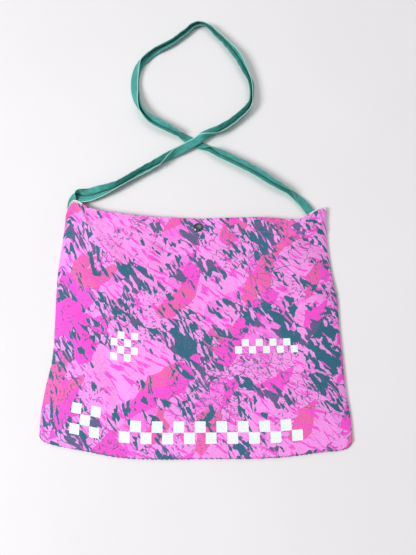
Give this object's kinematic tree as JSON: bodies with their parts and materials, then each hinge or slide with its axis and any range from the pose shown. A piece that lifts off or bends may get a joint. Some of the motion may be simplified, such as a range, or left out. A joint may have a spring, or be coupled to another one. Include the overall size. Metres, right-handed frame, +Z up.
{
  "type": "cycling musette bag",
  "caption": "Flat cloth shoulder bag for cyclists, lying on its back: two sewn panels in an all-over print, a snap at the mouth and a long folded-tape strap looped over itself.",
  "frame": {"origin": "on the surface the bag lies on, under the middle of its whole outline, strap included", "axes": "+Y from the bottom seam to the mouth and on to the strap's loop, +X to the right as seen from above, +Z up, out of the front face"},
  "size_m": [0.3804, 0.6408, 0.0167],
  "materials": {
    "printed_cloth": "matt plain-weave cloth, printed all over in pinks with teal and slate shards",
    "strap_tape": "matt teal cotton tape folded lengthwise, with paler edges",
    "dark_metal": "dark gunmetal plating, satin"
  },
  "bodies": {
    "root": {"back_panel": "printed_cloth", "front_panel": "printed_cloth", "strap": "strap_tape", "snap_cap": "dark_metal", "snap_socket": "dark_metal", "snap_stud": "dark_metal", "snap_rear_cap": "dark_metal"}
  },
  "joints": []
}
